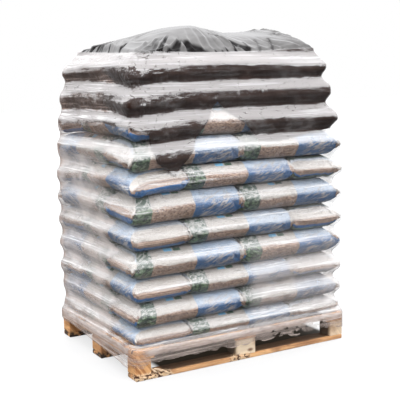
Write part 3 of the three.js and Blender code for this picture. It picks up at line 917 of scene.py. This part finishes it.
def make_film(points, material):
    """The stretch film. Returns how far out the sheet may reach, the load's own reach, and the heights."""
    reach, packed, heights = film_reach(points)
    stations = skin_stations(FILM_STATIONS)
    places, way_round = stations[2:4]
    around, up = np.meshgrid(places, heights, indexing="ij")
    from_back = (around + way_round / 2) % way_round
    streak = lattice_noise(from_back / 0.45, up / 0.011, 71) * STREAK_DEPTH
    pull = lattice_noise(from_back / 0.9, up / 0.045 + 0.4 * from_back, 72) * PULL_DEPTH
    shape = reach + FILM_GAP + streak + pull - 0.5 * crumples(around, up, way_round)
    loose = smoothstep(0.004, 0.020, reach - packed)
    cloudy = film_clouds(stations, heights, reach)
    foot = film_feet(stations)[:, None]
    top = film_tops(stations) + 0.004 * lattice_noise(places / 0.35, places * 0, 74)
    share = (heights - heights[0]) / (heights[-1] - heights[0])
    rows_z = foot + share[None, :] * (top[:, None] - foot)
    shape, loose, cloudy = [np.array([np.interp(rows_z[k], heights, field[k]) for k in range(FILM_STATIONS)])
                            for field in (shape, loose, cloudy)]
    on_ends = np.abs(stations[1][:, 0]) > 0.9
    rope = np.exp(-((rows_z - foot - ROPE_MIDDLE) / ROPE_SIZE) ** 2) * on_ends[:, None]
    mesh = film_mesh(stations, rows_z, shape + ROPE_DEPTH * rope, (loose, np.maximum(cloudy, rope)))
    film = finish_piece("film", mesh, material)
    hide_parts("stretch_film")
    return np.maximum(reach, packed), packed, heights


def film_mesh(stations, rows_z, reach, state):
    """A single sheet round the load, with two uv maps.

    "skin" holds the way round, from the back, and the height. "state" holds two more values of each point.
    """
    starts, ways, places, way_round = stations
    count, rows = reach.shape
    xy = starts[:, None, :] + ways[:, None, :] * reach[:, :, None]
    coords = np.concatenate([xy, rows_z[:, :, None]], 2).reshape(-1, 3)
    whole = torn_foot(stations, rows_z)[:, :-1]
    i, j = np.nonzero(whole)
    columns = np.stack([i, i + 1, i + 1, i], 1)
    levels = np.stack([j, j, j + 1, j + 1], 1)
    mesh = bpy.data.meshes.new("film")
    mesh.from_pydata(coords.tolist(), [], (columns % count * rows + levels).tolist())
    from_back = (columns[:, :1] + count // 2) % count + columns - columns[:, :1]
    held = [field[columns % count, levels] for field in (rows_z, *state)]
    set_corner_uv(mesh, "skin", np.stack([places[0] + from_back * way_round / count, held[0]], -1))
    set_corner_uv(mesh, "state", np.stack(held[1:], -1))
    loose = bmesh.new()
    loose.from_mesh(mesh)
    bmesh.ops.delete(loose, geom=[v for v in loose.verts if not v.link_faces], context="VERTS")
    loose.to_mesh(mesh)
    loose.free()
    return mesh


def film_places(look):
    """What the film's haze and tint depend on: where it lies, its patterns, and what it is like there."""
    at = SimpleNamespace(uv=look.uv("skin"))
    at.x, at.y, at.z = look.split(look.place())
    at.loose, state = look.split(look.uv("state"))[0:2]
    at.cloudy = look.larger(state, 0.0)
    at.clear = 1.0 + look.smaller(state, 0.0)
    at.streaks = look.noise(look.scaled(at.uv, (1.8, 75.0, 1)), 1.0, 6.0, 0.70, 0.6)
    at.ragged = look.noise(look.scaled(at.uv, (16.0, 55.0, 1)), 1.0, 4.0, 0.65)
    at.clouds = look.noise(at.uv, 3.4, 4.0, 0.6)
    at.thin = look.ramp(at.streaks, 0.49, 0.64)

    past_tip = at.z - FLAP_TIP[1] - abs(at.x - FLAP_TIP[0])
    over_flap = look.ramp(past_tip, -0.012, 0.0) * look.ramp(at.y, -0.40, -0.43)
    at.over_sheet = look.larger(look.ramp(at.z, 1.00, 1.05), over_flap)
    aside = at.x - at.y + (PALLET_LONG - PALLET_DEEP) / 2
    at.corner = look.ramp(abs(aside), 0.34, 0.05) * at.over_sheet
    rise = look.upward() + (at.ragged - 0.5) * (1.0 + at.corner) + at.cloudy * at.over_sheet * 0.12
    rise = rise - gathered_stars(look, aside, at.z) * at.over_sheet * 0.5
    # How far the film faces up; its white haze is raised there as a painted glare.
    at.facing_up = look.ramp(rise, 0.12 - 0.10 * at.over_sheet, 0.42 - 0.12 * at.over_sheet)
    patchy = look.ramp(at.clouds, 0.35, 0.62, 0.45, 1.0) * (1.0 - 0.25 * at.over_sheet)
    at.clouding = at.cloudy * patchy * (1.0 + at.over_sheet * (at.thin * 1.2 - 0.8))
    far_edge = look.ramp(at.y, 0.33, 0.42) * look.ramp(at.x, -0.50, -0.56)
    at.rim = at.cloudy * far_edge * (1.0 - 0.8 * at.facing_up)
    at.low = look.ramp(at.z, 0.150, 0.120)
    return at


def gathered_stars(look, aside, z):
    """1 inside a spiky patch round each knot of film on the near upright corner."""
    stars = 0.0
    for height, size in FILM_KNOTS:
        up = z - height
        far = look.node("VectorMath", (look.node("CombineXYZ", (aside, up)),), "Value", operation="LENGTH")
        turn = look.node("CombineXYZ", (look.math("ARCTAN2", up, aside) * 2.2, far * 9.0, height * 17))
        inside = far - (look.noise(turn, 1.6, 3.0, 0.6) - 0.5) * (size * 1.6)
        stars = look.larger(look.ramp(inside, size * 1.40, size * 0.60), stars)
    return stars


def film_haze(look, at):
    """How opaque the film is: streaks, a painted glare on what faces up, cloudy turns, and its gathered foot.
    """
    crackle = look.cells(look.scaled(at.uv, (1.0, 1.4, 1)), 15.0, "DISTANCE_TO_EDGE")
    crackle = look.ramp(crackle, 0.05, 0.0) * look.ramp(at.ragged, 0.50, 0.62) * (0.6 + 0.35 * at.corner)
    # Painted glare: more white haze on the film's upward slopes, less where it crackles.
    painted_roof_glare = at.thin * (0.26 - 0.20 * at.over_sheet) + 0.25 * at.over_sheet + 0.16
    haze = at.thin * (0.10 - 0.05 * at.over_sheet) + 0.03
    haze = haze + at.facing_up * painted_roof_glare * (1.0 - crackle) * at.clear
    mottled = look.ramp(at.clouds + at.ragged, 0.95, 1.25, 0.0, 0.12)
    haze = haze + at.over_sheet * (1.0 - at.facing_up) * mottled
    haze = haze + at.clouding * (0.30 * at.loose + 0.34) + at.rim * 0.35

    slant = look.node("LayerWeight", {"Blend": 0.5}, output="Facing")
    haze = haze + look.ramp(slant, 0.25, 0.75) * 0.06 + look.ramp(slant, 0.74, 0.97) * 0.40

    foot = look.ramp(at.streaks, 0.44, 0.62, 0.02, 0.46) * look.ramp(at.clouds, 0.3, 0.7, 0.6, 1.0)
    along = at.x - at.y
    beside_corner = look.ramp(along, -0.12, -0.06) + look.ramp(along, -0.18, -0.24)
    deck_edge = look.within(at.z, 0.116, 0.148, 0.006) * look.ramp(at.ragged, 0.35, 0.6, 0.25, 0.55)
    return look.smaller(haze + at.low * foot + beside_corner * deck_edge, 0.93)


def film_tint(look, at):
    """White where the film shines, and pinkish or brown where many turns of it are in the shade."""
    white = look.mix(at.thin, (0.66, 0.635, 0.625), (0.80, 0.79, 0.79))
    dusky = look.mix(at.loose, (0.86, 0.78, 0.74), (0.82, 0.73, 0.69))
    dusky = look.mix(at.over_sheet, dusky, (0.50, 0.38, 0.33))
    duskiness = look.smaller(at.cloudy * at.over_sheet * 0.8 + at.clouding, 1.0)
    # The dusky tint is held back where the painted glare lies.
    tint = look.mix(duskiness * (1.0 - 0.9 * at.facing_up), white, dusky)
    tint = look.mix(at.rim, tint, look.mix(at.over_sheet, (0.42, 0.30, 0.25), (0.27, 0.13, 0.080)))
    return look.mix(at.low * 0.8, tint, (0.40, 0.30, 0.25))


def film_material():
    look = new_look("stretch film")
    at = film_places(look)
    fine = look.noise(look.scaled(at.uv, (9.0, 300.0, 1)), 1.0, 3.0, 0.6)
    creases = look.creases(look.scaled(at.uv, (1.0, 1.8, 1)), 11.0)
    height = at.streaks * (1.0 - 0.75 * at.over_sheet) + creases * (1.2 * at.corner + 0.45) + fine * 0.25
    look.set(Base_Color=film_tint(look, at), Roughness=0.17, Specular_IOR_Level=0.8, IOR=1.6,
             Alpha=film_haze(look, at), Normal=look.bump(height, 0.9, 0.006))
    look.owner.surface_render_method = "BLENDED"
    return look.owner


# The top sheet


def hem_height(place, way):
    x, y = place
    sides = {"right": way[0], "left": -way[0], "back": way[1], "front": -way[1]}
    side = max(sides, key=sides.get)
    spots, heights = zip(*SHEET_HEM[side])
    return float(np.interp(y if side in ("right", "left") else x, spots, heights))


def dome_height(x, y, inward):
    blunt = np.where(x > 0, 12.0, 4.0)
    along = np.maximum(1 - np.abs(x / DOME_LONG) ** blunt, 0)
    across = np.maximum(1 - np.abs(y / DOME_DEEP) ** 1.3, 0)
    humps = np.zeros_like(x)
    for hump_x, hump_y, height, width in DOME_HUMPS:
        humps = humps + height * np.exp(-((x - hump_x) ** 2 + (y - hump_y) ** 2) / width ** 2)
    steep = 0.10 - 0.06 * smoothstep(0.35, 0.50, x)
    crown = DOME_CROWN * (along * across) * smoothstep(-0.002, 0.030, inward)
    return crown + humps * smoothstep(0, steep, inward)


def fan(x, y, middle_x, middle_y, count, seed):
    """Ridges between 0 and 1 that run out from a middle. Each rises slowly and falls steeply."""
    turn = np.arctan2(y - middle_y, x - middle_x) / (2 * math.pi)
    far = np.hypot(x - middle_x, y - middle_y)
    bend = 0.8 * lattice_noise(turn * 9 + 20, far / 0.16, seed)
    bend = bend + 0.6 * lattice_noise(turn * 31 + 40, 0 * far, seed + 1)
    part = (turn * count + bend) % 1
    return np.where(part < 1 - FOLD_STEEP, part / (1 - FOLD_STEEP), (1 - part) / FOLD_STEEP)


def one_fold(x, y, foot, head, foot_half, head_half):
    """How near each point is to the bottom of a fold, from 0 to 1, and to the crest along its side."""
    way_x, way_y = head[0] - foot[0], head[1] - foot[1]
    length = math.hypot(way_x, way_y)
    along = ((x - foot[0]) * way_x + (y - foot[1]) * way_y) / length ** 2
    aside = ((x - foot[0]) * way_y - (y - foot[1]) * way_x) / length
    across = aside / (foot_half + (head_half - foot_half) * np.clip(along, 0, 1)) / FOLD_BREADTH
    within = smoothstep(-0.06, 0.02, along) * smoothstep(1.08, 0.85, along)
    bottom = smoothstep(-1.3, -1.0, across) * smoothstep(1.5, 0.8, across)
    return bottom * within, np.exp(-((across + 1.5) / 0.5) ** 2) * within


def further_folds():
    """Folds of chance sizes, for the back and the right side of the dome."""
    rng = np.random.default_rng(23)
    folds = []
    for number in range(FURTHER_FOLDS):
        angle = -0.15 * math.pi + 1.15 * math.pi * (number + rng.random()) / FURTHER_FOLDS
        out_x, out_y = [max(-1, min(1, 1.25 * out)) for out in (math.cos(angle), math.sin(angle))]
        foot = (0.56 * out_x, 0.38 * out_y)
        reach = rng.uniform(0.12, 0.40)
        head = [end * (1 - reach) + rng.uniform(-stray, stray) for end, stray in zip(foot, (0.06, 0.05))]
        half = rng.uniform(0.004, 0.016)
        folds.append((foot, head, half, half * 0.4, rng.uniform(0.5, 1.0)))
    return folds


def dome_folds(x, y, inward):
    """How far the dome sinks in its folds, and how much shade is painted there at each point, from 0 to 1."""
    right = smoothstep(0.02, 0.26, x)
    ridge = fan(x, y, *LEFT_FAN, 11) * (1 - right) + fan(x, y, *RIGHT_FAN, 15) * right
    sunk = FOLD_DEPTH * (1 - ridge) * smoothstep(0, 0.03, inward) * smoothstep(FOLD_LENGTH, 0.02, inward)
    # Painted shade in the valleys of the fans of soft folds.
    dark = 0.25 * smoothstep(0.30, 0.02, ridge) * smoothstep(FOLD_LENGTH, 0.02, inward)
    dark = dark * smoothstep(0.1, 0.8, lattice_noise(x / 0.12, y / 0.12, 37) + 0.5)
    for foot, head, foot_half, head_half, shade in DOME_FOLDS + further_folds():
        bottom, crest = one_fold(x, y, foot, head, foot_half, head_half)
        depth = min(DEEPEST_FOLD, 0.6 * max(foot_half, head_half) + 0.002)
        sunk = sunk + depth * (0.25 * bottom - 0.75 * crest) * smoothstep(0, 0.02, inward)
        # Painted shade in the bottom of each listed fold.
        dark = np.maximum(dark, np.minimum(1.4 * shade, 1.0) * bottom)
    return sunk, dark


def dome_rings(rim):
    """Rings of the sheet from the film's edge to the middle, the shade painted in them, and how far from the
    edge.
    """
    shares = 1 - np.linspace(0, 0.985, DOME_RINGS + 1)[1:] ** 1.25
    flat = rim[None, :, :2] * shares[:, None, None]
    x, y = flat[..., 0], flat[..., 1]
    inward = np.hypot(rim[None, :, 0] - x, rim[None, :, 1] - y)
    plain = dome_height(x, y, inward)
    sunk, dark = dome_folds(x, y, inward)
    facets = 1 - np.abs(lattice_noise(x / 0.13 + 3, y / 0.10 + 5, 31))
    height = plain - sunk * np.clip(plain / 0.03, 0.25, 1)
    height = height + FACET_DEPTH * facets * smoothstep(0.05, 0.2, inward)
    height = height + FILM_TOP + (rim[None, :, 2] - FILM_TOP) * shares[:, None]
    return np.concatenate([flat, height[..., None]], 2), dark, inward


def skirt_rings(reach, raw, heights):
    """Rings of the sheet from the film's upper edge down to its hem, between the film and the sacks."""
    stations = skin_stations(SHEET_STATIONS)
    starts, ways, places, way_round = stations
    spots = (np.arange(FILM_STATIONS) + 0.5) * way_round / FILM_STATIONS
    hems = np.array([hem_height(start + way * SKIN_CORNER, way) for start, way in zip(starts, ways)])
    tops = film_tops(stations)[:, None] - SKIRT_START
    levels = tops + (hems[:, None] - tops) * np.linspace(0, 1, SHEET_ROWS)[None, :]
    outer = between(reach, spots, heights, places, levels)
    inner = between(raw, spots, heights, places, levels)
    around = places[:, None] + 0 * levels
    near_corner = np.exp(-(np.minimum(around, way_round - around) / TUCKED_CORNER) ** 2)
    from_back = (around + way_round / 2) % way_round
    crease = 1 - np.abs(lattice_noise(from_back / 0.034 + levels * 14, levels / 0.030 - from_back * 3, 81))
    small = 1 - np.abs(lattice_noise(from_back / 0.015, levels / 0.017 + from_back * 9, 83))
    tuck = (crease ** 4 * TUCK_DEPTH + small ** 3 * SMALL_TUCK_DEPTH) * (0.20 + 0.80 * near_corner)
    tuck = tuck + crumples(around, levels, way_round)
    skirt = np.minimum(np.maximum(outer - tuck, inner), outer) + SHEET_GAP
    xy = starts[:, None, :] + ways[:, None, :] * skirt[:, :, None]
    return np.concatenate([xy, levels[:, :, None]], 2).transpose(1, 0, 2)


def between(field, spots, heights, places, levels):
    """A field of stations and rows, read at other stations and levels."""
    way_round = spots[-1] + spots[0]
    rows = np.array([np.interp(places, spots, column, period=way_round) for column in field.T]).T
    return np.array([np.interp(levels[k], heights, rows[k]) for k in range(len(places))])


def make_sheet(reach, raw, heights, material):
    """The top sheet: a skirt inside the film down to its hem, and a dome over the load."""
    skirt = skirt_rings(reach, raw, heights)
    dome, dark, inward = dome_rings(skirt[0])
    coords = np.concatenate([dome[::-1], skirt]).transpose(1, 0, 2)
    count, depth = coords.shape[:2]
    i, j = np.meshgrid(np.arange(count), np.arange(depth - 1), indexing="ij")
    column, following = i * depth, (i + 1) % count * depth
    corners = [column + j, column + j + 1, following + j + 1, following + j]
    faces = np.stack(corners, -1).reshape(-1, 4).tolist()
    faces.append([i * depth for i in range(count)])
    sheet = mesh_piece("top_cover", coords.reshape(-1, 3), faces, material)

    def over_all(on_dome):
        """Values of the dome's points, followed by 0 for those of the skirt."""
        return np.concatenate([on_dome[::-1], np.zeros(skirt.shape[:2])]).T.reshape(-1)

    places, way_round = skin_stations(SHEET_STATIONS)[2:4]
    around = np.repeat((places + way_round / 2) % way_round, depth)
    # The "fold" uv holds the painted fold shade, and 1 on the dome, where the sheet's sheen is painted.
    set_uv(sheet.data, "fold", np.stack([over_all(dark), over_all(np.ones_like(dark))], 1))
    set_uv(sheet.data, "run", np.stack([around, over_all(inward)], 1))
    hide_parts("top_sheet")


def sheet_material():
    look = new_look("dark top sheet")
    place, run = look.place(), look.uv("run")
    painted_fold_shade, on_dome = look.split(look.uv("fold"))[0:2]
    wrinkles = look.creases(look.scaled(place, (1, 1, 1.6)), 12.0)
    running = look.creases(look.scaled(run, (1.0, 0.30, 1)), 8.0, 3.0)
    running = running * look.ramp(look.split(run)[1], 0.34, 0.05) * on_dome
    # Painted shade in the folds: the dome's fold map, and the running creases near its rim.
    painted_fold_shade = look.larger(painted_fold_shade, look.ramp(running, 0.75, 1.15, 0.0, 0.55))
    dust = look.noise(place, 7.0, 5.0, 0.6)
    black = look.mix(look.ramp(dust, 0.4, 0.8), (0.022, 0.009, 0.006), (0.050, 0.026, 0.019))
    # Painted sheen: the dome is coloured light grey in place of the black sheet's sheen.
    painted_sheen = look.mix(look.ramp(dust, 0.35, 0.65), (0.070, 0.066, 0.064), (0.120, 0.115, 0.112))
    look.set(Base_Color=look.mix(painted_fold_shade, look.mix(on_dome, black, painted_sheen), (0.003, 0.002, 0.002)),
             Roughness=look.ramp(dust, 0.3, 0.8, 0.30, 0.40),
             Specular_IOR_Level=(0.22 * on_dome + 0.12) * (1.0 - 0.9 * painted_fold_shade),
             Normal=look.bump(wrinkles - running * 2.2, 0.6, 0.008))
    return look.owner


# The pallet


def wood_material():
    look = new_look("pallet wood")
    uv, place = look.uv("grain"), look.place()
    x, y, z = look.split(place)
    grain = look.noise(look.scaled(uv, (4.0, 60.0, 1)), 1.0, 6.0, 0.65, 0.8)
    fibres = look.noise(look.scaled(uv, (16.0, 320.0, 1)), 1.0, 3.0, 0.6)
    fresh = look.mix(look.ramp(grain, 0.25, 0.75), (0.30, 0.105, 0.028), (0.84, 0.47, 0.20))
    cream = look.mix(grain, (0.56, 0.42, 0.28), (0.80, 0.67, 0.50))
    base = look.mix(look.stored("pale"), fresh, cream)
    stain = look.ramp(look.noise(place, 6.0, 4.0, 0.6), 0.50, 0.72)
    base = look.mix(stain * 0.8, base, (0.27, 0.125, 0.060))
    # Painted shade: the wood inside the pallet's outline, between and beneath its parts, is coloured near
    # black.
    inner = look.within(x, -0.44, 0.585, 0.01) * look.within(y, -0.435, 0.435, 0.01)
    base = look.mix(inner * 0.85, base, (0.035, 0.020, 0.014))
    knots = look.ramp(look.cells(look.scaled(uv, (4.0, 11.0, 1)), 1.0), 0.11, 0.05)
    base = look.mix(knots, base, (0.14, 0.060, 0.030))

    chips = look.split(look.cells(place, 95.0, output=1))[0]
    chewed = look.within(x, -0.62, -0.42, 0.02) + look.within(x, -0.09, 0.02, 0.02)
    chewed = chewed * look.ramp(z, 0.040, 0.022) * look.ramp(y, -0.40, -0.43)
    light_chip = look.mix(look.noise(place, 60.0), (0.60, 0.34, 0.15), (0.84, 0.68, 0.48))
    # The chewed patches are splintered wood; the dark of their holes, the lowest cells of the bump, is
    # painted shade.
    base = look.mix(chewed, base, look.mix(look.ramp(chips, 0.35, 0.45), (0.09, 0.035, 0.018), light_chip))
    mud = look.ramp(z, 0.040, 0.018) * look.ramp(x, -0.40, -0.45) * look.ramp(y, -0.40, -0.36)
    mud = mud * look.ramp(look.noise(place, 32.0, 4.0, 0.6), 0.38, 0.52)
    base = look.mix(mud, base, (0.045, 0.028, 0.018))
    height = grain + fibres * 0.4 + chewed * chips * 1.5
    look.set(Base_Color=base, Roughness=0.72, Normal=look.bump(height, 0.7, 0.003))
    return look.owner


def finish_wood(name, mesh, grain, pale, material, node):
    """Makes a flat-faced wooden piece with its grain and paleness in place of a CAD node."""
    piece = finish_piece(name, mesh, material, smooth=False)
    set_uv(mesh, "grain", grain)
    set_value(mesh, "pale", pale)
    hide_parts(node)


def make_board(node, material):
    """A sawn board or block in place of its plain solid: worn edges, an uneven face and its own grain."""
    low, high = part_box(node)
    size = high - low
    long = max(range(3), key=lambda k: size[k])
    board = bmesh.new()
    bmesh.ops.create_cube(board, size=1.0)
    for vertex in board.verts:
        vertex.co = Vector([low[k] + (vertex.co[k] + 0.5) * size[k] for k in range(3)])
    bmesh.ops.bevel(board, geom=board.edges[:], offset=WOOD_BEVEL, segments=2, affect="EDGES")
    for step in np.arange(low[long] + WOOD_CUT, high[long] - WOOD_CUT / 2, WOOD_CUT):
        spot, way = [0, 0, 0], [0, 0, 0]
        spot[long], way[long] = step, 1
        bmesh.ops.bisect_plane(board, geom=board.verts[:] + board.edges[:] + board.faces[:],
                               plane_co=spot, plane_no=way)
    own = hash_of(node)
    seed, middle = Vector((own, 0, 0)), (low + high) / 2
    for vertex in board.verts:
        inward = middle - vertex.co
        inward[long] = 0
        rough = WOOD_ROUGH * max(0.0, noise.noise(vertex.co * 18 + seed))
        worn = WOOD_WORN * max(0.0, noise.noise(vertex.co * 45 + seed * 2) - 0.12)
        vertex.co += inward.normalized() * (rough + worn)
    mesh = bpy.data.meshes.new("rough_" + node)
    board.to_mesh(mesh)
    board.free()
    coords = np.array([vertex.co[:] for vertex in mesh.vertices])
    first, second = [k for k in range(3) if k != long]
    grain = np.stack([coords[:, long] + own, coords[:, first] + 0.7 * coords[:, second] + own], 1)
    finish_wood("rough_" + node, mesh, grain, PALE_WOOD.get(node, 0.0), material, node)


def make_splinters(material):
    """Thin wedges that stand off the front of the front bottom board."""
    coords, faces = [], []
    for (x0, z0), (x1, z1), width, out in SPLINTERS:
        way = Vector((x1 - x0, 0, z1 - z0)).normalized()
        side = Vector((-way[2], 0, way[0])) * width / 2
        first = len(coords)
        for share, breadth, depth in ((0.0, 0.35, 0.2), (0.25, 1.0, 0.9), (0.6, 0.8, 1.0), (1.0, 0.15, 0.1)):
            middle = Vector((x0 + (x1 - x0) * share, -PALLET_DEEP / 2, z0 + (z1 - z0) * share))
            front = middle + Vector((0, -out * depth - 0.0006, 0))
            coords += [middle - side * breadth, middle + side * breadth, front + side * breadth * 0.6,
                       front - side * breadth * 0.6]
        for ring in range(3):
            a = first + ring * 4
            faces += [(a + k, a + (k + 1) % 4, a + 4 + (k + 1) % 4, a + 4 + k) for k in range(4)]
        faces += [(first, first + 3, first + 2, first + 1), (first + 12, first + 13, first + 14, first + 15)]
    mesh = bpy.data.meshes.new("splinters")
    mesh.from_pydata(coords, [], faces)
    finish_wood("splinters", mesh, [(x, z) for x, y, z in coords], 0.8, material, "bottom_board_front")


def hash_of(word):
    """A number of its own for each name, the same in every run."""
    return sum(ord(letter) * (place + 1) for place, letter in enumerate(word)) % 97


def main():
    make_camera()
    make_stage()
    make_world()
    points = make_sacks(sack_material())
    reach, packed, heights = make_film(points, film_material())
    make_sheet(reach, packed, heights, sheet_material())
    wood = wood_material()
    for name in list(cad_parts):
        if name.startswith(("bottom_board", "block", "stringer_board", "deck_board")):
            make_board(name, wood)
    make_splinters(wood)
    bpy.context.scene.view_settings.view_transform = "Standard"


main()
